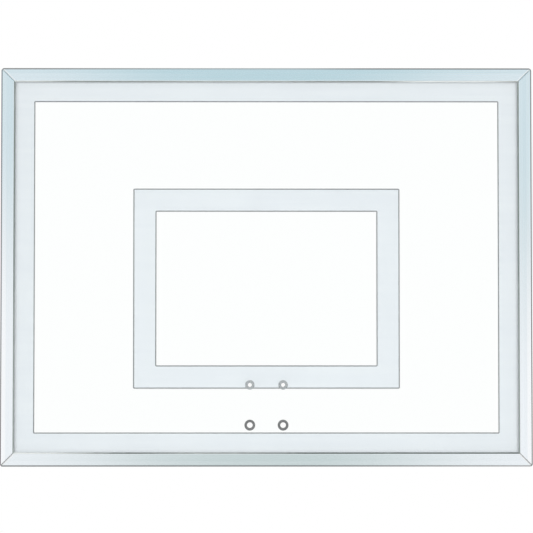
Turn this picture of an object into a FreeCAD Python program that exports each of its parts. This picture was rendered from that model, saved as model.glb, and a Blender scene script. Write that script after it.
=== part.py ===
"""Framed glass basketball backboard, 48 by 36 inches, in millimetres.

A tempered glass panel with a white border and target fired on its back face sits in a rubber
channel inside four mitred aluminium rails. Cast keys join the rails at the corners. Steel plates
on the back take the support arms, and four bushed holes take the bolts of a rim.

X runs along the board, Y from front to back and Z up. The origin is the middle of the support
bolt pattern, on the plane of the mounting plates' back faces.
"""

import FreeCAD
import Part
import math
import os
from collections import namedtuple

Vec = FreeCAD.Vector

# Board outline
BOARD_WIDTH = 1219.2
BOARD_HEIGHT = 914.4
CORNER_RADIUS = 6.5
EDGE_BEVEL = 3.2
REAR_EDGE_RADIUS = 1.0

# Frame rails, one extruded section: a glazing pocket in front of a closed chamber
FACE_WIDTH = 29.4
LIP_THICKNESS = 2.5
LIP_RADIUS = 0.5
WALL = 3.0
CHAMBER_DEPTH = 14.0
MITRE_GAP = 0.5
MITRE_BREAK = 1.5
GUIDE_GROOVE = 0.8

# Glass
GLASS_THICKNESS = 12.7
GLASS_BITE = 17.0
GLASS_CORNER_RADIUS = 4.0
GLASS_ARRIS = 1.0

# Rubber channel round the edge of the glass, and the blocks that centre it in the pocket
GASKET_LEG = 1.8
GASKET_BASE = 2.0
GASKET_SHOW = 2.6
GASKET_REAR_SHOW = 2.0
GASKET_TIP_RADIUS = 0.8
SETTING_BLOCK_LENGTH = 100.0
EDGE_BLOCK_LENGTH = 60.0

# White markings on the back of the glass, edged with a grey keyline
PRINT_GAP = 0.05
PRINT_THICKNESS = 0.2
PRINT_INSET = 2.0
KEYLINE = 2.6
KEYLINE_RADIUS = 0.5
BORDER_REACH = 76.2
TARGET_WIDTH = 609.6
TARGET_HEIGHT = 457.2
TARGET_BAR = 50.8
TARGET_BASE_HEIGHT = 179.0

# Rim bolt holes, two rows of two, each with a rubber grommet and a steel sleeve
RIM_SPACING_X = 76.2
RIM_SPACING_Z = 92.0
RIM_LOWER_HEIGHT = 94.5
SLEEVE_WALL = 1.5
SLEEVE_FLANGE = 1.2
SLEEVE_FIT = 0.05
SLEEVE_PROUD = 0.5
GROMMET_WALL = 1.9
GROMMET_FIT = 0.1
GROMMET_FLANGE = 1.5
GROMMET_REAR_LAND = 2.2
GROMMET_LIP_RADIUS = 0.6
PRINT_CLEARANCE = 0.4
UPPER_BORE = 9.0
UPPER_SLEEVE_LAND = 4.6
UPPER_GROMMET_LAND = 2.7
LOWER_BORE = 13.0
LOWER_SLEEVE_LAND = 0.6
LOWER_GROMMET_LAND = 2.3

# Corner keys and the screws that hold the rails on them
KEY_ARM_LENGTH = 90.0
KEY_CLEARANCE = 0.3
KEY_OUTER_RADIUS = 4.0
KEY_INNER_RADIUS = 6.0
SCREW_DIAMETER = 5.0
SCREW_HOLE_CLEARANCE = 0.25
SCREW_HEAD_DIAMETER = 9.5
SCREW_HEAD_HEIGHT = 3.2
SCREW_HEAD_RADIUS = 1.6
SCREW_LENGTH = 14.0
SCREW_RECESS_LENGTH = 5.0
SCREW_RECESS_WIDTH = 1.2
SCREW_RECESS_DEPTH = 1.8
SCREW_FIRST = 42.0
SCREW_PITCH = 30.0

# Mounting plates on the back, with the bolts, washers and nut plates that hold them
MOUNT_SPACING_X = 508.0
MOUNT_SETBACK = 27.8
PLATE_THICKNESS = 5.0
PLATE_WIDTH = 112.0
PLATE_EDGE = 3.0
PLATE_LUG_WIDTH = 62.0
PLATE_LUG_MARGIN = 8.0
PLATE_SHOULDER = 12.0
PLATE_RADIUS = 6.0
SLOT_WIDTH = 14.0
SLOT_LENGTH = 26.0
BOLT_DIAMETER = 8.0
BOLT_HOLE_CLEARANCE = 0.5
BOLT_PITCH = 76.0
BOLT_HEAD_FLATS = 13.0
BOLT_HEAD_HEIGHT = 5.3
BOLT_HEAD_CHAMFER = 0.9
BOLT_PROUD = 2.0
WASHER_DIAMETER = 17.0
WASHER_THICKNESS = 1.6
NUT_PLATE_LENGTH = 104.0
NUT_PLATE_CLEARANCE = 2.0
NUT_PLATE_THICKNESS = 6.0

# Depths behind the frame's front face
DEPTH_GLASS = LIP_THICKNESS + GASKET_LEG
DEPTH_GLASS_BACK = DEPTH_GLASS + GLASS_THICKNESS
DEPTH_PRINT = DEPTH_GLASS_BACK + PRINT_GAP
DEPTH_PRINT_BACK = DEPTH_PRINT + PRINT_THICKNESS
DEPTH_WEB = DEPTH_PRINT_BACK + GASKET_LEG
DEPTH_CHAMBER = DEPTH_WEB + WALL
DEPTH_REAR_WALL = DEPTH_CHAMBER + CHAMBER_DEPTH
FRAME_DEPTH = DEPTH_REAR_WALL + WALL
FRONT_Y = -PLATE_THICKNESS - FRAME_DEPTH

# Distances in from the frame's outer edge
GLASS_EDGE = FACE_WIDTH - GLASS_BITE
GASKET_EDGE = GLASS_EDGE - GASKET_BASE
RAIL_CENTRE = FACE_WIDTH / 2
SLOT_CENTRE = FACE_WIDTH + MOUNT_SETBACK
HALF_WIDTH = BOARD_WIDTH / 2
HALF_HEIGHT = BOARD_HEIGHT / 2

BACKWARD = Vec(0, 1, 0)
Side = namedtuple("Side", "start along inward length")
SIDES = {
    "top": Side(Vec(-HALF_WIDTH, 0, HALF_HEIGHT), Vec(1, 0, 0), Vec(0, 0, -1), BOARD_WIDTH),
    "bottom": Side(Vec(-HALF_WIDTH, 0, -HALF_HEIGHT), Vec(1, 0, 0), Vec(0, 0, 1), BOARD_WIDTH),
    "left": Side(Vec(-HALF_WIDTH, 0, -HALF_HEIGHT), Vec(0, 0, 1), Vec(1, 0, 0), BOARD_HEIGHT),
    "right": Side(Vec(HALF_WIDTH, 0, -HALF_HEIGHT), Vec(0, 0, 1), Vec(-1, 0, 0), BOARD_HEIGHT),
}
LEFT_RIGHT = {"left": -1, "right": 1}
TOP_BOTTOM = {"top": 1, "bottom": -1}


def at(side, along, inward, depth):
    """A point on one side of the frame, measured along it, in from its edge and back from its face."""
    return side.start + side.along * along + side.inward * inward + BACKWARD * (FRONT_Y + depth)


def rounded_wire(corners):
    """A closed wire through (point, radius) corners, with a tangent arc at each radius above zero."""
    edges = []
    ends = []
    for i, (point, radius) in enumerate(corners):
        to_last = (corners[i - 1][0] - point).normalize()
        to_next = (corners[(i + 1) % len(corners)][0] - point).normalize()
        if radius <= 0:
            ends.append((point, point))
            continue
        half = to_last.getAngle(to_next) / 2
        tangent = radius / math.tan(half)
        middle = (to_last + to_next).normalize() * (radius / math.sin(half) - radius)
        first, last = point + to_last * tangent, point + to_next * tangent
        edges.append(Part.Arc(first, point + middle, last).toShape())
        ends.append((first, last))
    for i, (start, _) in enumerate(ends):
        before = ends[i - 1][1]
        if before.distanceToPoint(start) > 1e-6:
            edges.append(Part.LineSegment(before, start).toShape())
    return Part.Wire(Part.__sortEdges__(edges))


def side_prism(side, section):
    """A bar along a whole side from its section, a list of (inward, depth, radius) corners."""
    wire = rounded_wire([(at(side, 0, inward, depth), radius) for inward, depth, radius in section])
    return Part.Face(wire).extrude(side.along * side.length)


def side_plate(side, outline, depth, thickness):
    """A flat piece on a side from its outline, a list of (along, inward, radius) corners."""
    wire = rounded_wire([(at(side, along, inward, depth), radius) for along, inward, radius in outline])
    return Part.Face(wire).extrude(BACKWARD * thickness)


def side_box(side, middle, length, inward, depth):
    """A block on a side, centred at a place along it, with its inward and depth spans."""
    low, high = middle - length / 2, middle + length / 2
    outline = [(low, inward[0], 0), (high, inward[0], 0), (high, inward[1], 0), (low, inward[1], 0)]
    return side_plate(side, outline, depth[0], depth[1] - depth[0])


def rod(point, diameter, length):
    """A round bar running back from a point."""
    return Part.makeCylinder(diameter / 2, length, point, BACKWARD)


def turned(x, z, section):
    """A piece turned about a front-to-back axis, from (radius, depth, rounding) corners."""
    wire = rounded_wire([(Vec(r, FRONT_Y + depth, 0), rounding) for r, depth, rounding in section])
    ring = Part.Face(wire).revolve(Vec(0, 0, 0), BACKWARD, 360)
    ring.translate(Vec(x, 0, z))
    return ring


def slab(left, right, low, high, depth, thickness):
    """An upright sheet between two edges across and two up the board."""
    return Part.makeBox(right - left, thickness, high - low, Vec(left, FRONT_Y + depth, low))


def mitre_wedge(side, edge_break):
    """The room that one side's pieces may fill: a trapezium that stops half a gap short of each mitre."""
    gap = MITRE_GAP / math.sqrt(2)
    reach = BORDER_REACH
    outline = [
        (gap, 0, 0),
        (side.length - gap, 0, 0),
        (side.length - gap - reach, reach, 0),
        (gap + reach, reach, 0),
    ]
    wedge = side_plate(side, outline, 0, FRAME_DEPTH)
    if not edge_break:
        return wedge
    slanted = [
        edge
        for edge in wedge.Edges
        if edge.BoundBox.YMax < FRONT_Y + LIP_THICKNESS
        and min(edge.BoundBox.XLength, edge.BoundBox.ZLength) > reach / 2
    ]
    return wedge.makeChamfer(edge_break, slanted)


def outline_block():
    """The frame's outside shape: round corners, a bevel round the front and an eased back edge."""
    block = slab(-HALF_WIDTH, HALF_WIDTH, -HALF_HEIGHT, HALF_HEIGHT, 0, FRAME_DEPTH)
    upright = [edge for edge in block.Edges if edge.BoundBox.YLength > FRAME_DEPTH / 2]
    block = block.makeFillet(CORNER_RADIUS, upright)
    middle = FRONT_Y + FRAME_DEPTH / 2
    rear = [edge for edge in block.Edges if edge.BoundBox.YMin > middle]
    block = block.makeFillet(REAR_EDGE_RADIUS, rear)
    front = [edge for edge in block.Edges if edge.BoundBox.YMax < middle]
    return block.makeChamfer(EDGE_BEVEL, front)


# Frame rails


def key_screw_places(side):
    """Distances along a side of the screws that enter its two corner keys."""
    near = [SCREW_FIRST, SCREW_FIRST + SCREW_PITCH]
    return near + [side.length - place for place in near]


def plate_middle(horizontal):
    """Distance along the top or bottom rail of a mounting plate's middle."""
    return HALF_WIDTH + LEFT_RIGHT[horizontal] * MOUNT_SPACING_X / 2


def plate_bolt_places(horizontal):
    """Distances along the rail of one mounting plate's two bolts."""
    return [plate_middle(horizontal) + sign * BOLT_PITCH / 2 for sign in (-1, 1)]


def frame_rail(name, outside):
    """One mitred length of the extrusion, with drilling grooves, drilled for its screws and bolts."""
    side = SIDES[name]
    web = (DEPTH_WEB + DEPTH_CHAMBER) / 2
    section = [
        (0, 0, 0),
        (FACE_WIDTH, 0, LIP_RADIUS),
        (FACE_WIDTH, LIP_THICKNESS, 0),
        (WALL, LIP_THICKNESS, 0),
        (WALL, DEPTH_WEB, 0),
        (FACE_WIDTH, DEPTH_WEB, 0),
        (FACE_WIDTH, FRAME_DEPTH, REAR_EDGE_RADIUS),
        (RAIL_CENTRE + GUIDE_GROOVE, FRAME_DEPTH, 0),
        (RAIL_CENTRE, FRAME_DEPTH - GUIDE_GROOVE, 0),
        (RAIL_CENTRE - GUIDE_GROOVE, FRAME_DEPTH, 0),
        (0, FRAME_DEPTH, 0),
        (0, web + GUIDE_GROOVE, 0),
        (GUIDE_GROOVE, web, 0),
        (0, web - GUIDE_GROOVE, 0),
    ]
    chamber = [
        (WALL, DEPTH_CHAMBER, 0),
        (FACE_WIDTH - WALL, DEPTH_CHAMBER, 0),
        (FACE_WIDTH - WALL, DEPTH_REAR_WALL, 0),
        (WALL, DEPTH_REAR_WALL, 0),
    ]
    rail = side_prism(side, section).cut(side_prism(side, chamber))
    rail = rail.common(mitre_wedge(side, MITRE_BREAK)).common(outside)
    holes = [(place, SCREW_DIAMETER + 2 * SCREW_HOLE_CLEARANCE) for place in key_screw_places(side)]
    if name in TOP_BOTTOM:
        for horizontal in LEFT_RIGHT:
            bolt_hole = BOLT_DIAMETER + 2 * BOLT_HOLE_CLEARANCE
            holes += [(place, bolt_hole) for place in plate_bolt_places(horizontal)]
    for place, diameter in holes:
        rail = rail.cut(rod(at(side, place, RAIL_CENTRE, DEPTH_REAR_WALL), diameter, WALL))
    return rail


def corner_key(vertical, horizontal):
    """An L-shaped key that fills the chambers of the two rails meeting at one corner."""
    sign_x, sign_z = LEFT_RIGHT[horizontal], TOP_BOTTOM[vertical]
    outer = WALL + KEY_CLEARANCE
    inner = FACE_WIDTH - WALL - KEY_CLEARANCE
    front, back = DEPTH_CHAMBER + 2 * KEY_CLEARANCE, DEPTH_REAR_WALL
    outline = [
        (outer, outer, KEY_OUTER_RADIUS),
        (KEY_ARM_LENGTH, outer, 0),
        (KEY_ARM_LENGTH, inner, 0),
        (inner, inner, KEY_INNER_RADIUS),
        (inner, KEY_ARM_LENGTH, 0),
        (outer, KEY_ARM_LENGTH, 0),
    ]
    corners = [
        (Vec(sign_x * (HALF_WIDTH - across), FRONT_Y + front, sign_z * (HALF_HEIGHT - down)), radius)
        for across, down, radius in outline
    ]
    key = Part.Face(rounded_wire(corners)).extrude(BACKWARD * (back - front))
    for place in (SCREW_FIRST, SCREW_FIRST + SCREW_PITCH):
        for across, down in ((place, RAIL_CENTRE), (RAIL_CENTRE, place)):
            point = Vec(sign_x * (HALF_WIDTH - across), FRONT_Y + front, sign_z * (HALF_HEIGHT - down))
            key = key.cut(rod(point, SCREW_DIAMETER, back - front))
    return key


def key_screw(point):
    """A pan-head screw with a cross recess, its head seated at a point on the frame's back."""
    head = rod(point, SCREW_HEAD_DIAMETER, SCREW_HEAD_HEIGHT)
    crown = [edge for edge in head.Edges if edge.BoundBox.YMin > point.y + SCREW_HEAD_HEIGHT / 2]
    screw = head.makeFillet(SCREW_HEAD_RADIUS, crown)
    screw = screw.fuse(rod(point - BACKWARD * SCREW_LENGTH, SCREW_DIAMETER, SCREW_LENGTH))
    for size_x, size_z in (
        (SCREW_RECESS_LENGTH, SCREW_RECESS_WIDTH),
        (SCREW_RECESS_WIDTH, SCREW_RECESS_LENGTH),
    ):
        corner = point + Vec(-size_x / 2, SCREW_HEAD_HEIGHT - SCREW_RECESS_DEPTH, -size_z / 2)
        screw = screw.cut(Part.makeBox(size_x, SCREW_RECESS_DEPTH, size_z, corner))
    return screw.removeSplitter()


def corner_key_screws():
    """All the screws that hold the rails on the corner keys."""
    return Part.makeCompound(
        [
            key_screw(at(side, place, RAIL_CENTRE, FRAME_DEPTH))
            for side in SIDES.values()
            for place in key_screw_places(side)
        ]
    )


# Glass and its seating


def glass_panel():
    """The glass, with arrised edges and a hole for each rim bolt's grommet."""
    half_width, half_height = HALF_WIDTH - GLASS_EDGE, HALF_HEIGHT - GLASS_EDGE
    panel = slab(-half_width, half_width, -half_height, half_height, DEPTH_GLASS, GLASS_THICKNESS)
    upright = [edge for edge in panel.Edges if edge.BoundBox.YLength > GLASS_THICKNESS / 2]
    panel = panel.makeFillet(GLASS_CORNER_RADIUS, upright)
    rims = [edge for edge in panel.Edges if edge.BoundBox.YLength < GLASS_ARRIS / 2]
    panel = panel.makeChamfer(GLASS_ARRIS, rims)
    for place in RIM_PLACES.values():
        point = Vec(place.x, FRONT_Y + DEPTH_GLASS, place.z)
        panel = panel.cut(rod(point, place.row.glass_hole, GLASS_THICKNESS))
    return panel


def glazing_gasket(name):
    """One side of the rubber channel, with a rounded lip that shows inside the frame."""
    side = SIDES[name]
    front_tip, rear_tip = FACE_WIDTH + GASKET_SHOW, FACE_WIDTH + GASKET_REAR_SHOW
    section = [
        (GASKET_EDGE, LIP_THICKNESS, 0),
        (front_tip, LIP_THICKNESS, GASKET_TIP_RADIUS),
        (front_tip, DEPTH_GLASS, 0),
        (GLASS_EDGE, DEPTH_GLASS, 0),
        (GLASS_EDGE, DEPTH_PRINT_BACK, 0),
        (rear_tip, DEPTH_PRINT_BACK, 0),
        (rear_tip, DEPTH_WEB, GASKET_TIP_RADIUS),
        (GASKET_EDGE, DEPTH_WEB, 0),
    ]
    return side_prism(side, section).common(mitre_wedge(side, 0))


def blocks(names, length):
    """Rubber blocks at the quarter points of some sides, between the rail and the channel."""
    return Part.makeCompound(
        [
            side_box(
                SIDES[name],
                SIDES[name].length * quarter,
                length,
                (WALL, GASKET_EDGE),
                (DEPTH_GLASS, DEPTH_GLASS_BACK),
            )
            for name in names
            for quarter in (0.25, 0.75)
        ]
    )


# Markings

Line = namedtuple("Line", "half_width half_height middle")
PRINT_EDGE = GLASS_EDGE + PRINT_INSET
TARGET_MIDDLE = TARGET_BASE_HEIGHT + TARGET_HEIGHT / 2 - HALF_HEIGHT
PRINT_LINE = Line(HALF_WIDTH - PRINT_EDGE, HALF_HEIGHT - PRINT_EDGE, 0)
BORDER_LINE = Line(HALF_WIDTH - BORDER_REACH, HALF_HEIGHT - BORDER_REACH, 0)
TARGET_LINES = [
    Line(TARGET_WIDTH / 2 - inset, TARGET_HEIGHT / 2 - inset, TARGET_MIDDLE) for inset in (0, TARGET_BAR)
]


def print_sheet(line, offset):
    """A sheet that fills a line moved out by an offset, its corners rounded to follow the keyline."""
    width, height = line.half_width + offset, line.half_height + offset
    sheet = slab(-width, width, line.middle - height, line.middle + height, DEPTH_PRINT, PRINT_THICKNESS)
    upright = [edge for edge in sheet.Edges if max(edge.BoundBox.XLength, edge.BoundBox.ZLength) < KEYLINE]
    return sheet.makeFillet(KEYLINE_RADIUS + KEYLINE / 2 + offset, upright)


def print_ring(outer_line, outer_offset, inner_line, inner_offset):
    """A flat ring of print between two lines, clear of the grommets' rear flanges."""
    ring = print_sheet(outer_line, outer_offset).cut(print_sheet(inner_line, inner_offset))
    for place in RIM_PLACES.values():
        point = Vec(place.x, FRONT_Y + DEPTH_PRINT, place.z)
        ring = ring.cut(rod(point, place.row.print_hole, PRINT_THICKNESS))
    return ring


def keyline(line):
    """A grey line centred on the edge of a marking."""
    return print_ring(line, KEYLINE / 2, line, -KEYLINE / 2)


# Rim bolt bushes

RimRow = namedtuple(
    "RimRow", "height bore sleeve flange grommet glass_hole rear_flange print_hole front_flange"
)
RimPlace = namedtuple("RimPlace", "x z row")


def rim_row(height, bore, sleeve_land, grommet_land):
    """The diameters of one row's bushes, each from the one inside it."""
    sleeve = bore + 2 * SLEEVE_WALL
    grommet = sleeve + 2 * SLEEVE_FIT + 2 * GROMMET_WALL
    glass_hole = grommet + 2 * GROMMET_FIT
    rear_flange = glass_hole + 2 * GROMMET_REAR_LAND
    return RimRow(
        height,
        bore,
        sleeve,
        sleeve + 2 * sleeve_land,
        grommet,
        glass_hole,
        rear_flange,
        rear_flange + 2 * PRINT_CLEARANCE,
        glass_hole + 2 * grommet_land,
    )


RIM_ROWS = {
    "upper": rim_row(RIM_LOWER_HEIGHT + RIM_SPACING_Z, UPPER_BORE, UPPER_SLEEVE_LAND, UPPER_GROMMET_LAND),
    "lower": rim_row(RIM_LOWER_HEIGHT, LOWER_BORE, LOWER_SLEEVE_LAND, LOWER_GROMMET_LAND),
}
RIM_PLACES = {
    f"{level}_{horizontal}": RimPlace(sign * RIM_SPACING_X / 2, row.height - HALF_HEIGHT, row)
    for level, row in RIM_ROWS.items()
    for horizontal, sign in LEFT_RIGHT.items()
}


def rim_grommet(place):
    """A rubber bush with a flange on each face of the glass."""
    row = place.row
    bore = row.sleeve / 2 + SLEEVE_FIT
    front, back = DEPTH_GLASS - GROMMET_FLANGE, DEPTH_GLASS_BACK + GROMMET_FLANGE
    section = [
        (bore, front, 0),
        (row.front_flange / 2, front, GROMMET_LIP_RADIUS),
        (row.front_flange / 2, DEPTH_GLASS, 0),
        (row.grommet / 2, DEPTH_GLASS, 0),
        (row.grommet / 2, DEPTH_GLASS_BACK, 0),
        (row.rear_flange / 2, DEPTH_GLASS_BACK, 0),
        (row.rear_flange / 2, back, GROMMET_LIP_RADIUS),
        (bore, back, 0),
    ]
    return turned(place.x, place.z, section)


def rim_sleeve(place):
    """A steel sleeve in the grommet, flanged at the front, that carries the clamping load."""
    row = place.row
    seat = DEPTH_GLASS - GROMMET_FLANGE
    front, back = seat - SLEEVE_FLANGE, DEPTH_GLASS_BACK + GROMMET_FLANGE + SLEEVE_PROUD
    section = [
        (row.bore / 2, front, 0),
        (row.flange / 2, front, SLEEVE_FLANGE / 3),
        (row.flange / 2, seat, 0),
        (row.sleeve / 2, seat, 0),
        (row.sleeve / 2, back, 0),
        (row.bore / 2, back, 0),
    ]
    return turned(place.x, place.z, section)


# Mounting plates and their fasteners


def mounting_plate(vertical, horizontal):
    """A steel plate bolted on the back of a rail, with a slotted lug that reaches inside the frame."""
    side = SIDES[vertical]
    middle = plate_middle(horizontal)
    end = SLOT_CENTRE + SLOT_WIDTH / 2 + PLATE_LUG_MARGIN
    half = [
        (PLATE_WIDTH / 2, PLATE_EDGE, PLATE_RADIUS),
        (PLATE_WIDTH / 2, FACE_WIDTH, PLATE_RADIUS),
        (PLATE_LUG_WIDTH / 2, FACE_WIDTH + PLATE_SHOULDER, PLATE_RADIUS),
        (PLATE_LUG_WIDTH / 2, end, PLATE_RADIUS),
    ]
    outline = [(middle + along, inward, radius) for along, inward, radius in half]
    outline += [(middle - along, inward, radius) for along, inward, radius in reversed(half)]
    plate = side_plate(side, outline, FRAME_DEPTH, PLATE_THICKNESS)
    reach, half_width = SLOT_LENGTH / 2, SLOT_WIDTH / 2
    end_arc = half_width * (1 - 1e-4)
    slot = [
        (middle - reach, SLOT_CENTRE - half_width, end_arc),
        (middle + reach, SLOT_CENTRE - half_width, end_arc),
        (middle + reach, SLOT_CENTRE + half_width, end_arc),
        (middle - reach, SLOT_CENTRE + half_width, end_arc),
    ]
    plate = plate.cut(side_plate(side, slot, FRAME_DEPTH, PLATE_THICKNESS))
    hole = BOLT_DIAMETER + 2 * BOLT_HOLE_CLEARANCE
    for place in plate_bolt_places(horizontal):
        plate = plate.cut(rod(at(side, place, RAIL_CENTRE, FRAME_DEPTH), hole, PLATE_THICKNESS))
    return plate


def nut_plate(vertical, horizontal):
    """A tapped steel bar inside the rail that a mounting plate's bolts pull against the rear wall."""
    side = SIDES[vertical]
    spare = WALL + NUT_PLATE_CLEARANCE
    depth = DEPTH_REAR_WALL - NUT_PLATE_THICKNESS
    bar = side_box(
        side,
        plate_middle(horizontal),
        NUT_PLATE_LENGTH,
        (spare, FACE_WIDTH - spare),
        (depth, DEPTH_REAR_WALL),
    )
    for place in plate_bolt_places(horizontal):
        bar = bar.cut(rod(at(side, place, RAIL_CENTRE, depth), BOLT_DIAMETER, NUT_PLATE_THICKNESS))
    return bar


def plate_fasteners(make):
    """One fastener, from make, at every bolt place on the mounting plates' back faces."""
    return Part.makeCompound(
        [
            make(at(SIDES[vertical], place, RAIL_CENTRE, FRAME_DEPTH + PLATE_THICKNESS))
            for vertical in TOP_BOTTOM
            for horizontal in LEFT_RIGHT
            for place in plate_bolt_places(horizontal)
        ]
    )


def washer(point):
    """A flat washer lying on a mounting plate."""
    ring = rod(point, WASHER_DIAMETER, WASHER_THICKNESS)
    return ring.cut(rod(point, BOLT_DIAMETER + 2 * BOLT_HOLE_CLEARANCE, WASHER_THICKNESS))


def hex_bolt(point):
    """A hexagon-head bolt through washer, plate and rail into the nut plate."""
    seat = point + BACKWARD * WASHER_THICKNESS
    across_corners = BOLT_HEAD_FLATS / math.cos(math.pi / 6)
    corners = [
        seat + Vec(math.cos(turn), 0, math.sin(turn)) * (across_corners / 2)
        for turn in (math.pi / 3 * i for i in range(6))
    ]
    head = Part.Face(Part.makePolygon(corners + corners[:1])).extrude(BACKWARD * BOLT_HEAD_HEIGHT)
    round_head = rod(seat, across_corners, BOLT_HEAD_HEIGHT)
    top = [edge for edge in round_head.Edges if edge.BoundBox.YMin > seat.y + BOLT_HEAD_HEIGHT / 2]
    head = head.common(round_head.makeChamfer(BOLT_HEAD_CHAMFER, top))
    shank = WASHER_THICKNESS + PLATE_THICKNESS + WALL + NUT_PLATE_THICKNESS + BOLT_PROUD
    return head.fuse(rod(seat - BACKWARD * shank, BOLT_DIAMETER, shank)).removeSplitter()


def all_parts():
    """Every piece by its node name."""
    outside = outline_block()
    parts = {
        "glass_panel": glass_panel(),
        "border_print": print_ring(PRINT_LINE, 0, BORDER_LINE, KEYLINE / 2),
        "border_keyline": keyline(BORDER_LINE),
        "target_print": print_ring(TARGET_LINES[0], -KEYLINE / 2, TARGET_LINES[1], KEYLINE / 2),
        "target_keyline": Part.makeCompound([keyline(line) for line in TARGET_LINES]),
        "setting_blocks": blocks(["bottom"], SETTING_BLOCK_LENGTH),
        "edge_blocks": blocks(["left", "right"], EDGE_BLOCK_LENGTH),
        "corner_key_screws": corner_key_screws(),
        "plate_washers": plate_fasteners(washer),
        "plate_bolts": plate_fasteners(hex_bolt),
    }
    for name in SIDES:
        parts[f"frame_rail_{name}"] = frame_rail(name, outside)
        parts[f"glazing_gasket_{name}"] = glazing_gasket(name)
    for vertical in TOP_BOTTOM:
        for horizontal in LEFT_RIGHT:
            corner = f"{vertical}_{horizontal}"
            parts[f"corner_key_{corner}"] = corner_key(vertical, horizontal)
            parts[f"mounting_plate_{corner}"] = mounting_plate(vertical, horizontal)
            parts[f"nut_plate_{corner}"] = nut_plate(vertical, horizontal)
    for name, place in RIM_PLACES.items():
        parts[f"rim_grommet_{name}"] = rim_grommet(place)
        parts[f"rim_sleeve_{name}"] = rim_sleeve(place)
    return parts


os.makedirs("parts", exist_ok=True)
for node, shape in all_parts().items():
    if not shape.isValid() or not shape.Solids:
        raise ValueError(f"{node} is not a valid solid")
    shape.exportStep(f"parts/{node}.step")
    print(f"{node}: {len(shape.Solids)} solid(s), {shape.Volume / 1000:.2f} cm3")
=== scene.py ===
import math

import bpy
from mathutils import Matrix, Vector


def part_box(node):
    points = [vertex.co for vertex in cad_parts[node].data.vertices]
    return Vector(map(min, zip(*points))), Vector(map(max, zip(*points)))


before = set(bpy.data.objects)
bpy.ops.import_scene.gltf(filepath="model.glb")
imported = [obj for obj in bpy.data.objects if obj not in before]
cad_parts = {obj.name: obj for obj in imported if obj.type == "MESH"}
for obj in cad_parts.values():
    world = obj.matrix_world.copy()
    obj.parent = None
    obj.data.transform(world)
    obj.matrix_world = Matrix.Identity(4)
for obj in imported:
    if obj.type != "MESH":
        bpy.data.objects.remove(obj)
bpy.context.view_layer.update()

# Glass panel: a sheet of clear tempered glass, 12.7 mm thick, with ground edges and four drilled holes.
# Tempering on rollers leaves a long, faint wave in its faces, and handling leaves a thin film in patches.

GLASS_TINT = (0.982, 0.996, 0.992, 1.0)
GLASS_SHADOW = (0.95, 0.97, 0.965, 1.0)
GLASS_INDEX = 1.52
WAVES_PER_METRE = (0.6, 1.0, 5.0)
WAVE_DEPTH = 0.0004
FILM_PER_METRE = 7.0
FILM_SHOWS = (0.55, 0.8)
FILM_ROUGHNESS = 0.012


class Wire:
    """A socket in a node tree. Arithmetic on it adds Math nodes, and node() adds any other node."""

    def __init__(self, tree, socket=None):
        self.tree = tree
        self.socket = socket

    def node(self, kind, settings=None, inputs=None, output=0):
        """Adds a node, sets it up, feeds its sockets and returns one of its outputs."""
        node = self.tree.nodes.new(kind)
        for name, value in (settings or {}).items():
            setattr(node, name, value)
        for name, value in (inputs or {}).items():
            if isinstance(value, Wire):
                self.tree.links.new(value.socket, node.inputs[name])
            else:
                node.inputs[name].default_value = value
        return Wire(self.tree, node.outputs[output] if len(node.outputs) else None)

    def math(self, operation, *values):
        """Adds a Math node on numbers and wires."""
        return self.node("ShaderNodeMath", {"operation": operation}, dict(enumerate(values)))

    def __add__(self, other):
        return self.math("ADD", self, other)

    def __radd__(self, other):
        return self.math("ADD", other, self)

    def __sub__(self, other):
        return self.math("SUBTRACT", self, other)

    def __rsub__(self, other):
        return self.math("SUBTRACT", other, self)

    def __mul__(self, other):
        return self.math("MULTIPLY", self, other)

    def __rmul__(self, other):
        return self.math("MULTIPLY", other, self)

    def __neg__(self):
        return self.math("MULTIPLY", self, -1.0)

    def __abs__(self):
        return self.math("ABSOLUTE", self)

    def step(self, low, high):
        """A smooth rise from 0 to 1 as the value goes from low to high."""
        inputs = {"Value": self, "From Min": low, "From Max": high}
        return self.node("ShaderNodeMapRange", {"interpolation_type": "SMOOTHSTEP"}, inputs)

    def hump(self, middle, flat, reach):
        """A smooth hill of height 1, level within flat of its middle and gone beyond reach."""
        return 1.0 - abs(self - middle).step(flat, reach)

    def stretched(self, scale):
        """A vector with each part multiplied, which stretches a pattern the other way."""
        return self.node("ShaderNodeVectorMath", {"operation": "MULTIPLY"}, {0: self, 1: scale})

    def part(self, axis):
        """One part of a vector."""
        return self.node("ShaderNodeSeparateXYZ", None, {"Vector": self}, axis)

    def noise(self, scale=1.0, detail=2.0, roughness=0.5):
        """Cloudy noise over a vector, from 0 to 1."""
        inputs = {"Vector": self, "Scale": scale, "Detail": detail, "Roughness": roughness}
        return self.node("ShaderNodeTexNoise", None, inputs, "Fac")

    def blend(self, low, high):
        """A colour from low to high as the value goes from 0 to 1."""
        low, high = (end if isinstance(end, Wire) else (*end, 1.0) for end in (low, high))
        inputs = {"Factor": self, "A": low, "B": high}
        return self.node("ShaderNodeMix", {"data_type": "RGBA"}, inputs, "Result")

    def bump(self, depth, strength=1.0):
        """A normal bent by the value as a height."""
        inputs = {"Height": self, "Distance": depth, "Strength": strength}
        return self.node("ShaderNodeBump", None, inputs)


def new_finish(name):
    """An empty material, its tree as a Wire, and the place of a point on the board in metres."""
    finish = bpy.data.materials.new(name)
    finish.use_nodes = True
    finish.node_tree.nodes.clear()
    tree = Wire(finish.node_tree)
    return finish, tree, tree.node("ShaderNodeTexCoord", None, None, "Object")


def surface(tree, inputs):
    """A Principled shader."""
    return tree.node("ShaderNodeBsdfPrincipled", None, inputs)


def close_finish(tree, shader):
    """Feeds a shader to the material's surface."""
    tree.node("ShaderNodeOutputMaterial", None, {"Surface": shader})


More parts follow.
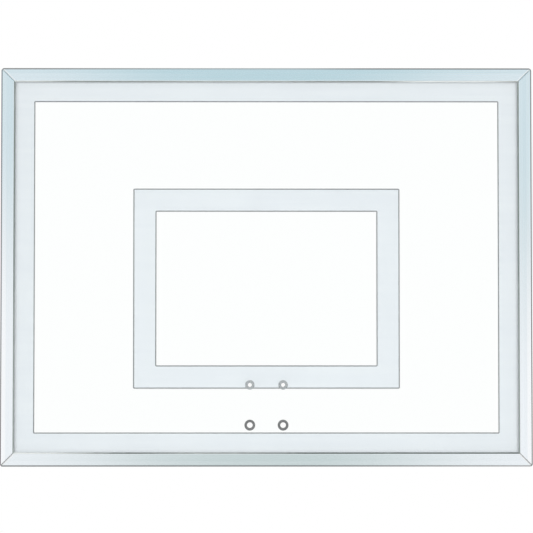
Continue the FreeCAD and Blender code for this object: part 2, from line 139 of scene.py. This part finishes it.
def dress(finish, *nodes):
    """Puts a material on CAD nodes, in place of the plain one that they came with."""
    for node in nodes:
        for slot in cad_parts[node].material_slots:
            slot.material = finish


glass, tree, place = new_finish("clear_glass")
roller_wave = place.stretched(WAVES_PER_METRE).noise(detail=1.0)
film = place.noise(FILM_PER_METRE, detail=4.0).step(*FILM_SHOWS)
pane = surface(
    tree,
    {
        "Base Color": GLASS_TINT,
        "Roughness": film * FILM_ROUGHNESS,
        "IOR": GLASS_INDEX,
        "Transmission Weight": 1.0,
        "Normal": roller_wave.bump(WAVE_DEPTH),
    },
)
through = tree.node("ShaderNodeBsdfTransparent", None, {"Color": GLASS_SHADOW})
lamp_ray = tree.node("ShaderNodeLightPath", None, None, "Is Shadow Ray")
close_finish(tree, tree.node("ShaderNodeMixShader", None, {0: lamp_ray, 1: pane, 2: through}))
dress(glass, "glass_panel")

# Markings: white enamel screened on the back of the glass and fired, edged by a line of grey enamel.
# The squeegee leaves faint streaks along the board, and the firing leaves a fine orange-peel skin.

WHITE_THIN = (0.790, 0.810, 0.856)
WHITE_THICK = (0.830, 0.848, 0.886)
GREY_THIN = (0.176, 0.184, 0.196)
GREY_THICK = (0.214, 0.224, 0.236)
STREAKS_PER_METRE = (3.0, 1.0, 90.0)
CLOUDS_PER_METRE = 9.0
PEEL_PER_METRE = 2600.0
PEEL_DEPTH = 0.00008


def coat(tree, inputs):
    """Closes a material with one Principled shader."""
    close_finish(tree, surface(tree, inputs))


def enamel(name, thin, thick):
    """Fired enamel, between the colours of its thin and thick streaks."""
    finish, tree, place = new_finish(name)
    streak = place.stretched(STREAKS_PER_METRE).noise(detail=3.0)
    cloud = place.noise(CLOUDS_PER_METRE, detail=3.0)
    peel = place.noise(PEEL_PER_METRE)
    tone = (streak * 0.6 + cloud * 0.4).step(0.3, 0.7)
    coat(
        tree,
        {
            "Base Color": tone.blend(thin, thick),
            "Roughness": 0.34 + 0.16 * cloud,
            "Normal": peel.bump(PEEL_DEPTH, strength=0.4),
        },
    )
    return finish


dress(enamel("white_enamel", WHITE_THIN, WHITE_THICK), "border_print", "target_print")
dress(enamel("grey_enamel", GREY_THIN, GREY_THICK), "border_keyline", "target_keyline")

# Glazing channel: grey-green rubber, extruded as a U, cut to mitres and pushed over the edge of the
# glass. Its front leg shows as a line inside the frame. The legs are paler along the top leg's tip and in
# patches, most at the right of the top and the left of the bottom, and a painted highlight lightens the
# top leg's joint with the rail, where the lip's shade falls.

# A pale tone for the legs, also used for the painted highlight along the top leg's joint with the rail.
PALE_RUBBER = (0.86, 0.90, 0.89)
CHANNEL_DEEP = (0.070, 0.088, 0.083)
CHANNEL_DARK = (0.155, 0.192, 0.182)
CHANNEL_LIGHT = (0.230, 0.273, 0.260)
BLOOM_PER_METRE = 38.0
BLOOM_SHOWS = (0.48, 0.78)
SPECK_DEPTH = 0.00025

# The leg's tip and the rail's lip over it, as heights at the top, and the shares of the leg between them
# over which its tip ends and its joint with the rail begins.
LEG_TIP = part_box("glazing_gasket_top")[0][2]
RAIL_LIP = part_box("frame_rail_top")[0][2]
TIP_ENDS = (0.12, 0.62)
JOINT_BEGINS = (0.69, 0.85)

# Pale patches, each with its middle, half its flat and its reach along the rail, and pale ends,
# each from where it begins to where it is full. All are metres from the middle of the board.
TOP_RIGHT_PATCH = (0.43, 0.06, 0.19)
TOP_MIDDLE_PATCH = (-0.08, 0.02, 0.24)
BOTTOM_MIDDLE_PATCH = (-0.124, 0.01, 0.27)
TOP_LEFT_END = (0.44, 0.54)
BOTTOM_LEFT_END = (0.29, 0.54)
SIDE_LOWER_END = (-0.02, 0.14)
SIDE_UPPER_END = (0.20, 0.38)


def rubber(name, dark, light, bloom, specks, rough, paling=None):
    """Rubber with a specked skin, lightened in patches by bloom, and made paler where a given function of
    place says.
    """
    finish, tree, place = new_finish(name)
    patch = place.noise(BLOOM_PER_METRE, detail=4.0).step(*BLOOM_SHOWS)
    speck = place.noise(specks, detail=3.0)
    tone = (patch * bloom + speck * (1.0 - bloom)).blend(dark, light)
    if paling:
        tone = (paling(place) + (patch - 0.5) * 0.08).blend(tone, PALE_RUBBER)
    coat(
        tree,
        {
            "Base Color": tone,
            "Roughness": rough + 0.18 * patch,
            "Normal": speck.bump(SPECK_DEPTH, strength=0.5),
        },
    )
    return finish


def across_leg(place):
    """How far a point of the top or bottom leg lies from its tip, at 0, to the rail's lip, at 1."""
    return (abs(place.part("Z")) - LEG_TIP) * (1.0 / (RAIL_LIP - LEG_TIP))


def paling_on_top(place):
    """A pale line along the tip and a painted highlight along the joint, with pale patches at the middle
    and both ends.
    """
    x = place.part("X")
    across = across_leg(place)
    joint = across.step(*JOINT_BEGINS)
    right = x.hump(*TOP_RIGHT_PATCH)
    tip_line = 0.34 * (1.0 - across.step(*TIP_ENDS))
    # Painted highlight along the joint, where the rail's lip shades the leg.
    painted_joint_highlight = joint * (0.69 - 0.31 * right)
    right_patch = 0.80 * right * (1.0 - joint)
    middle_patch = 0.15 * x.hump(*TOP_MIDDLE_PATCH)
    left_end = 0.32 * (-x).step(*TOP_LEFT_END)
    return tip_line + painted_joint_highlight + right_patch + middle_patch + left_end


def paling_on_bottom(place):
    """Paler at the left end, a little paler left of the middle, and not at the right."""
    x = place.part("X")
    joint = across_leg(place).step(*JOINT_BEGINS)
    left_end = (-x).step(*BOTTOM_LEFT_END) * (1.0 - 0.50 * joint)
    middle_patch = 0.32 * x.hump(*BOTTOM_MIDDLE_PATCH)
    return left_end + middle_patch


def paling_on_sides(place):
    """A little paler on the lower half, and less so at the top."""
    z = place.part("Z")
    lower_end = 0.14 * (-z).step(*SIDE_LOWER_END)
    upper_end = 0.09 * z.step(*SIDE_UPPER_END)
    return lower_end + upper_end


for side, dark, light, paling in (
    ("top", CHANNEL_DEEP, CHANNEL_DARK, paling_on_top),
    ("bottom", CHANNEL_DEEP, CHANNEL_DARK, paling_on_bottom),
    ("left", CHANNEL_DARK, CHANNEL_LIGHT, paling_on_sides),
    ("right", CHANNEL_DARK, CHANNEL_LIGHT, paling_on_sides),
):
    name = f"channel_rubber_{side}"
    channel = rubber(name, dark, light, bloom=0.45, specks=700.0, rough=0.55, paling=paling)
    dress(channel, f"glazing_gasket_{side}")

# Setting and edge blocks: lengths of hard black rubber, cut from strip, that carry and centre the glass.
# They lie inside the rails' pocket, under and beside the channel.

BLOCK_DARK = (0.018, 0.018, 0.019)
BLOCK_LIGHT = (0.055, 0.055, 0.056)
block_rubber = rubber("block_rubber", BLOCK_DARK, BLOCK_LIGHT, bloom=0.6, specks=420.0, rough=0.62)
dress(block_rubber, "setting_blocks", "edge_blocks")

# Frame rails: one aluminium extrusion, cut to mitres, satin etched and clear anodised with a pale blue
# cast. The die leaves fine lines along each rail. The front's tone, drifting along the rail and other on
# an outer strip, is painted reflection. Its lip has a painted highlight, the bevel painted shade, and the
# mitres a painted highlight on the top and bottom rails and painted shade on the side rails.

# Colours of painted reflection and highlight on the front, the plain colours of the other faces, then
# painted shade for the bevels and painted highlight and shade by the mitres.
REFLECTION_COOL = (0.510, 0.680, 0.742)
REFLECTION_COOL_LOW = (0.570, 0.660, 0.668)
REFLECTION_PALE = (0.882, 0.922, 0.962)
HIGHLIGHT_BRIGHT = (0.975, 0.985, 0.995)
RAIL_PLAIN_DARK = (0.610, 0.665, 0.700)
RAIL_PLAIN_LIGHT = (0.690, 0.740, 0.772)
BEVEL_SHADE_TOP = (0.430, 0.495, 0.515)
BEVEL_SHADE_TOP_RIGHT = (0.230, 0.245, 0.252)
BEVEL_SHADE_BOTTOM = (0.235, 0.250, 0.255)
BEVEL_SHADE_BOTTOM_RIGHT = (0.430, 0.440, 0.445)
BEVEL_SHADE_LEFT = (0.255, 0.268, 0.275)
BEVEL_SHADE_SIDE_TOP = (0.285, 0.330, 0.338)
BEVEL_SHADE_SIDE_BOTTOM = (0.345, 0.345, 0.342)
MITRE_HIGHLIGHT_TOP = (0.950, 0.985, 1.000)
MITRE_HIGHLIGHT_BOTTOM = (0.960, 0.970, 0.975)
MITRE_SHADE_SIDE_TOP = (0.600, 0.720, 0.765)
MITRE_SHADE_SIDE_BOTTOM = (0.680, 0.695, 0.705)
HALF_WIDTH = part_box("frame_rail_right")[1][0]
HALF_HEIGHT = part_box("frame_rail_top")[1][2]
FACE_WIDTH = HALF_HEIGHT - RAIL_LIP
BEVEL_WIDTH = 0.0034
BEVEL_FADE = 0.0003
STRIP_WIDTH = 0.0125
STRIP_FADE = 0.001
LIP_WIDTH = 0.0008
LIP_FADE = 0.0018
CUT_WIDTH = 0.0030
CUT_FADE = 0.0026
CUT_SIDE_FADE = 0.0006
DIE_LINES_PER_METRE = 760.0
DIE_BREAKS_PER_METRE = 1.6
DIE_LINE_DEPTH = 0.00006
SOFT_LINE_SHARE = 0.16
ETCH_PER_METRE = 3200.0
RAIL_CLOUDS_PER_METRE = 4.5

# Where along a rail its painted reflection and bevel shade begin to change and where they are done,
# in metres from the board's middle.
ENDS_PALER = (0.07, 0.63)
TOP_BEVEL_DARKER = (0.04, 0.28)
LEFT_TO_RIGHT = (-0.1, 0.1)
SIDES_COOLER = (-0.27, 0.28)

# How squarely a face looks forward or back, from 0 at an edge-on wall to 1, where it counts as the front,
# and where it begins and ceases to count as a bevel.
FRONT_BEGINS = (0.3, 0.9)
BEVEL_BEGINS = (0.45, 0.62)
BEVEL_CEASES = (0.80, 0.95)

# The axis that a rail lies along.
ALONG_X = 0
ALONG_Z = 2


def tones_across(x, z, height, strip):
    """Painted reflection on the top and bottom rails, and painted shade of the bevel and highlight of the
    mitres.
    """
    outward = abs(x).step(*ENDS_PALER)
    pale_ends = outward * (0.68 - 0.30 * z)
    pale_strip = strip * (0.05 - height * (0.10 + 0.08 * outward))
    painted_sheen = 0.01 * strip
    top_bevel = x.step(*TOP_BEVEL_DARKER).blend(BEVEL_SHADE_TOP, BEVEL_SHADE_TOP_RIGHT)
    middle_bevel = height.blend(BEVEL_SHADE_BOTTOM, top_bevel)
    right_bevel = height.blend(BEVEL_SHADE_BOTTOM_RIGHT, BEVEL_SHADE_TOP_RIGHT)
    end_bevel = x.step(*LEFT_TO_RIGHT).blend(BEVEL_SHADE_LEFT, right_bevel)
    bevel_shade = outward.blend(middle_bevel, end_bevel)
    mitre_paint = height.blend(MITRE_HIGHLIGHT_BOTTOM, MITRE_HIGHLIGHT_TOP)
    return pale_ends + pale_strip, painted_sheen, bevel_shade, mitre_paint


def tones_up(x, z, height, strip):
    """The same for the side rails: painted reflection cool at the top and pale below, painted sheen on
    the strip.
    """
    upward = (z + 0.10 * x).step(*SIDES_COOLER)
    pale = 0.93 - 0.58 * upward
    painted_sheen = 0.66 * strip * pale * pale
    bevel_shade = height.blend(BEVEL_SHADE_SIDE_BOTTOM, BEVEL_SHADE_SIDE_TOP)
    mitre_paint = height.blend(MITRE_SHADE_SIDE_BOTTOM, MITRE_SHADE_SIDE_TOP)
    return pale, painted_sheen, bevel_shade, mitre_paint


def anodised(name, along, tones, cut_fade):
    """Anodised rail with die lines along one axis, and the painted light that tones() gives it."""
    finish, tree, place = new_finish(name)
    x = place.part("X")
    z = place.part("Z")

    # What the die and the etch leave.
    per_metre = [DIE_LINES_PER_METRE] * 3
    per_metre[along] = DIE_BREAKS_PER_METRE
    lines = place.stretched(per_metre).noise(detail=3.0, roughness=0.6)
    soft_lines = place.stretched([part * SOFT_LINE_SHARE for part in per_metre]).noise()
    etch = place.noise(ETCH_PER_METRE)
    cloud = place.noise(RAIL_CLOUDS_PER_METRE, detail=3.0)

    # Where a point lies on the rail. On the side rails the painted mitre shade shows only on the bevel.
    height = z.step(-HALF_HEIGHT, HALF_HEIGHT)
    from_side = HALF_WIDTH - abs(x)
    from_top = HALF_HEIGHT - abs(z)
    from_edge = from_top if along == ALONG_X else from_side
    from_lip = FACE_WIDTH - from_edge
    from_mitre = abs(from_top - from_side)
    backward = tree.node("ShaderNodeTexCoord", None, None, "Normal").part("Y")
    front = (-backward).step(*FRONT_BEGINS)
    slope = abs(backward).step(*BEVEL_BEGINS) * (1.0 - abs(backward).step(*BEVEL_CEASES))
    strip = 1.0 - from_edge.step(STRIP_WIDTH - STRIP_FADE, STRIP_WIDTH + STRIP_FADE)
    lip = 1.0 - from_lip.step(LIP_WIDTH, LIP_WIDTH + LIP_FADE)
    # The band of painted shade along the outer bevel.
    bevel = (1.0 - from_edge.step(BEVEL_WIDTH - BEVEL_FADE, BEVEL_WIDTH)) * slope
    cut = 1.0 - from_mitre.step(CUT_WIDTH, CUT_WIDTH + cut_fade)
    if along == ALONG_Z:
        cut = cut * slope

    # The tone there, each over the last: painted reflection on the front, a painted highlight on its lip,
    # painted light by the mitre and painted shade on the bevel.
    pale, painted_sheen, bevel_shade, mitre_paint = tones(x, z, height, strip)
    uneven = (cloud - 0.5) * 0.10 + (soft_lines - 0.5) * 0.20
    cool = height.blend(REFLECTION_COOL_LOW, REFLECTION_COOL)
    reflected = (pale + uneven).blend(cool, REFLECTION_PALE)
    highlighted = (painted_sheen + 0.28 * lip).blend(reflected, HIGHLIGHT_BRIGHT)
    plain = (cloud * 0.4 + soft_lines * 0.6).step(0.3, 0.7).blend(RAIL_PLAIN_DARK, RAIL_PLAIN_LIGHT)
    mitre_painted = cut.blend(front.blend(plain, highlighted), mitre_paint)
    coat(
        tree,
        {
            "Base Color": bevel.blend(mitre_painted, bevel_shade),
            "Metallic": 1.0,
            "Roughness": 0.19 + 0.10 * lines + 0.05 * cloud + 0.35 * cut,
            "Normal": (lines * 0.7 + etch * 0.3).bump(DIE_LINE_DEPTH, strength=0.5),
        },
    )
    return finish


rail_across = anodised("rail_finish_across", ALONG_X, tones_across, CUT_FADE)
rail_up = anodised("rail_finish_up", ALONG_Z, tones_up, CUT_SIDE_FADE)
dress(rail_across, "frame_rail_top", "frame_rail_bottom")
dress(rail_up, "frame_rail_left", "frame_rail_right")

# Corner keys: L-shaped aluminium castings, tapped for two screws an arm, that fill the rails' chambers.
# They keep the grainy skin of the mould.

CORNERS = [f"{level}_{hand}" for level in ("top", "bottom") for hand in ("left", "right")]
MOTTLE_PER_METRE = 60.0


def metal(name, dark, light, rough, lay, grains, depth):
    """Bare or plated metal with a lay of streaks, a mottle and a fine grain of some depth."""
    finish, tree, place = new_finish(name)
    streak = place.stretched(lay).noise(detail=3.0, roughness=0.6)
    mottle = place.noise(MOTTLE_PER_METRE, detail=4.0)
    grain = place.noise(grains, detail=3.0)
    tone = (streak * 0.5 + mottle * 0.5).step(0.32, 0.68)
    coat(
        tree,
        {
            "Base Color": tone.blend(dark, light),
            "Metallic": 1.0,
            "Roughness": rough + 0.16 * mottle + 0.10 * streak,
            "Normal": (streak * 0.5 + grain * 0.5).bump(depth, strength=0.5),
        },
    )
    return finish


key_casting = metal(
    "key_casting",
    dark=(0.40, 0.41, 0.42),
    light=(0.60, 0.61, 0.62),
    rough=0.45,
    lay=(90.0, 90.0, 90.0),
    grains=900.0,
    depth=0.0004,
)
dress(key_casting, *(f"corner_key_{corner}" for corner in CORNERS))

# Key screws: pan-head stainless screws with a cross recess, driven through the back of the rails into
# the keys. Cold heading leaves them smooth and bright.

screw_steel = metal(
    "screw_steel",
    dark=(0.50, 0.50, 0.49),
    light=(0.68, 0.68, 0.67),
    rough=0.18,
    lay=(400.0, 40.0, 400.0),
    grains=1500.0,
    depth=0.00005,
)
dress(screw_steel, "corner_key_screws")

# Rim grommets: moulded dark grey rubber bushes, one in each drilled hole, with a flange on both faces.
# They keep the sleeves off the glass.

RIM_HOLES = [f"{level}_{hand}" for level in ("upper", "lower") for hand in ("left", "right")]
GROMMET_DARK = (0.070, 0.074, 0.076)
GROMMET_LIGHT = (0.255, 0.264, 0.267)
bush_rubber = rubber("grommet_rubber", GROMMET_DARK, GROMMET_LIGHT, bloom=0.35, specks=420.0, rough=0.48)
dress(bush_rubber, *(f"rim_grommet_{hole}" for hole in RIM_HOLES))

# Rim sleeves: turned steel, flanged at the front, that carry the clamping load of a rim's bolts. The
# upper pair is zinc plated and the lower pair is blackened. The lathe leaves rings round each bore.

ZINC_DARK = (0.305, 0.330, 0.342)
ZINC_LIGHT = (0.545, 0.578, 0.592)
BLACK_DARK = (0.160, 0.166, 0.168)
BLACK_LIGHT = (0.300, 0.308, 0.310)
RINGS_PER_METRE = 5200.0
RING_DEPTH = 0.00006
HAZE_PER_METRE = 420.0


def turned_steel(name, sleeve, dark, light):
    """Steel with lathe rings about the bore of a right-hand sleeve, and of its twin on the left."""
    finish, tree, place = new_finish(name)
    low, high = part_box(sleeve)
    off_x = abs(place.part("X")) - (low[0] + high[0]) / 2
    off_z = place.part("Z") - (low[2] + high[2]) / 2
    radius = tree.math("SQRT", off_x * off_x + off_z * off_z)
    turning = {"W": radius, "Scale": RINGS_PER_METRE, "Detail": 2.0}
    rings = tree.node("ShaderNodeTexNoise", {"noise_dimensions": "1D"}, turning, "Fac")
    haze = place.noise(HAZE_PER_METRE, detail=3.0).step(0.34, 0.66)
    coat(
        tree,
        {
            "Base Color": (rings * 0.5 + haze * 0.5).blend(dark, light),
            "Metallic": 1.0,
            "Roughness": 0.24 + 0.18 * haze,
            "Normal": rings.bump(RING_DEPTH, strength=0.6),
        },
    )
    return finish


for level, steel, dark, light in (
    ("upper", "zinc_steel", ZINC_DARK, ZINC_LIGHT),
    ("lower", "black_steel", BLACK_DARK, BLACK_LIGHT),
):
    sleeve_steel = turned_steel(f"sleeve_{steel}", f"rim_sleeve_{level}_right", dark, light)
    dress(sleeve_steel, f"rim_sleeve_{level}_left", f"rim_sleeve_{level}_right")

# Under even light the grommets and sleeves leave no shadow on the markings behind the glass.
for hole in RIM_HOLES:
    for ring in (f"rim_grommet_{hole}", f"rim_sleeve_{hole}"):
        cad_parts[ring].visible_shadow = False

# Mounting plates: 5 mm steel, cut, slotted and zinc plated, bolted on the back of the top and bottom
# rails. The rolled sheet shows faint streaks under the plating.

plate_zinc = metal(
    "plate_zinc",
    dark=(0.50, 0.52, 0.54),
    light=(0.60, 0.62, 0.64),
    rough=0.30,
    lay=(12.0, 60.0, 260.0),
    grains=1100.0,
    depth=0.00012,
)
dress(plate_zinc, *(f"mounting_plate_{corner}" for corner in CORNERS))

# Plate bolts, washers and nut plates: zinc-plated steel. The bolts pull each plate and a tapped bar
# inside the chamber together, with the rail's rear wall between them.

bolt_zinc = metal(
    "bolt_zinc",
    dark=(0.50, 0.51, 0.51),
    light=(0.72, 0.73, 0.73),
    rough=0.22,
    lay=(220.0, 60.0, 220.0),
    grains=1400.0,
    depth=0.00008,
)
dress(bolt_zinc, "plate_bolts", "plate_washers", *(f"nut_plate_{corner}" for corner in CORNERS))

# Floor: a pale matt disc well under the board, which takes the board's shadow. It fades out towards its
# rim, so that no edge of it shows.

WHITE = (1.0, 1.0, 1.0, 1.0)
FLOOR_PAINT = (0.88, 0.88, 0.88, 1.0)
FLOOR_GLOW = 0.24
FLOOR_HEIGHT = -1.0
FLOOR_RADIUS = 2.2
FLOOR_SIDES = 96
FADE_BEGINS = 0.35 * FLOOR_RADIUS
FADE_ENDS = 0.98 * FLOOR_RADIUS

bpy.ops.mesh.primitive_circle_add(
    vertices=FLOOR_SIDES,
    radius=FLOOR_RADIUS,
    fill_type="NGON",
    location=(0.0, 0.0, FLOOR_HEIGHT),
)
floor = bpy.context.object
floor.name = "floor"
floor_paint, tree, place = new_finish("floor_paint")
from_middle = tree.node("ShaderNodeVectorMath", {"operation": "LENGTH"}, {0: place}, "Value")
solid = 1.0 - from_middle.step(FADE_BEGINS, FADE_ENDS)
matt = surface(
    tree,
    {
        "Base Color": FLOOR_PAINT,
        "Roughness": 0.9,
        "Emission Color": WHITE,
        "Emission Strength": FLOOR_GLOW,
    },
)
faded = tree.node("ShaderNodeBsdfTransparent")
close_finish(tree, tree.node("ShaderNodeMixShader", None, {0: solid, 1: faded, 2: matt}))
floor.data.materials.append(floor_paint)

# Surround: white where it is seen, mirrored or looked at through the glass, and a dimmer white as
# light. What metal mirrors is a little darker at the sides and below, so that its edges show.

AMBIENT = 0.36
SIDE_SHADE = 0.12
BELOW_SHADE = 0.46
SIDE_ENDS = (0.30, 0.85)
ANY_RAY = (0.2, 0.8)

world = bpy.data.worlds.new("surround")
bpy.context.scene.world = world
world.use_nodes = True
world.node_tree.nodes.clear()
tree = Wire(world.node_tree)
towards = tree.node("ShaderNodeTexCoord", None, None, "Generated")
ray = {
    kind: tree.node("ShaderNodeLightPath", None, None, kind)
    for kind in ("Is Camera Ray", "Is Glossy Ray", "Is Transmission Ray", "Diffuse Depth")
}
sideways = 1.0 - abs(towards.part("Y")).step(*SIDE_ENDS)
downward = tree.math("MAXIMUM", -towards.part("Z"), 0.0)
shade = sideways * (SIDE_SHADE + BELOW_SHADE * downward)
looking = ray["Is Camera Ray"] + ray["Is Glossy Ray"] + ray["Is Transmission Ray"]
seen = looking.step(*ANY_RAY) * (1.0 - ray["Diffuse Depth"].step(*ANY_RAY))
shown = 1.0 - ray["Is Glossy Ray"] * shade
strength = AMBIENT + (shown - AMBIENT) * seen
sky = tree.node("ShaderNodeBackground", None, {"Color": WHITE, "Strength": strength})
tree.node("ShaderNodeOutputWorld", None, {"Surface": sky})

# Lamps: soft squares in front, behind and above, all aimed at the middle of the board. They are kept out
# of what metal and glass mirror.


def lamp(name, at, size, power):
    """A square soft lamp at a place, aimed at the middle of the board."""
    light = bpy.data.lights.new(name, "AREA")
    light.shape = "SQUARE"
    light.size = size
    light.energy = power
    holder = bpy.data.objects.new(name, light)
    holder.location = at
    holder.rotation_euler = (-Vector(at)).to_track_quat("-Z", "Y").to_euler()
    holder.visible_glossy = False
    holder.visible_transmission = False
    bpy.context.scene.collection.objects.link(holder)


lamp("lamp_front_middle", at=(0.0, -6.0, 0.3), size=3.0, power=136.0)
lamp("lamp_front_left", at=(-2.0, -5.2, -0.1), size=2.2, power=82.0)
lamp("lamp_front_right", at=(2.0, -5.2, -0.1), size=2.2, power=82.0)
lamp("lamp_back_middle", at=(0.0, 6.0, 0.8), size=3.0, power=80.0)
lamp("lamp_back_left", at=(-3.0, 4.4, 1.0), size=2.4, power=51.0)
lamp("lamp_back_right", at=(3.0, 4.4, 1.0), size=2.4, power=51.0)
lamp("lamp_above", at=(0.3, 2.0, 3.8), size=1.8, power=34.0)

# Camera: five metres in front of the board, a little under and to the left of its middle, and turned
# slightly up and to the right.

CAMERA_AT = (-0.0219, -5.0, -0.1802)
CAMERA_TILT = math.radians(92.088)
CAMERA_TURN = math.radians(-0.254)
LENS = 146.11
SENSOR = 36.0

camera = bpy.data.objects.new("camera", bpy.data.cameras.new("camera"))
camera.data.lens = LENS
camera.data.sensor_width = SENSOR
camera.location = CAMERA_AT
camera.rotation_euler = (CAMERA_TILT, 0.0, CAMERA_TURN)
bpy.context.scene.collection.objects.link(camera)
bpy.context.scene.camera = camera
bpy.context.scene.view_settings.view_transform = "Standard"
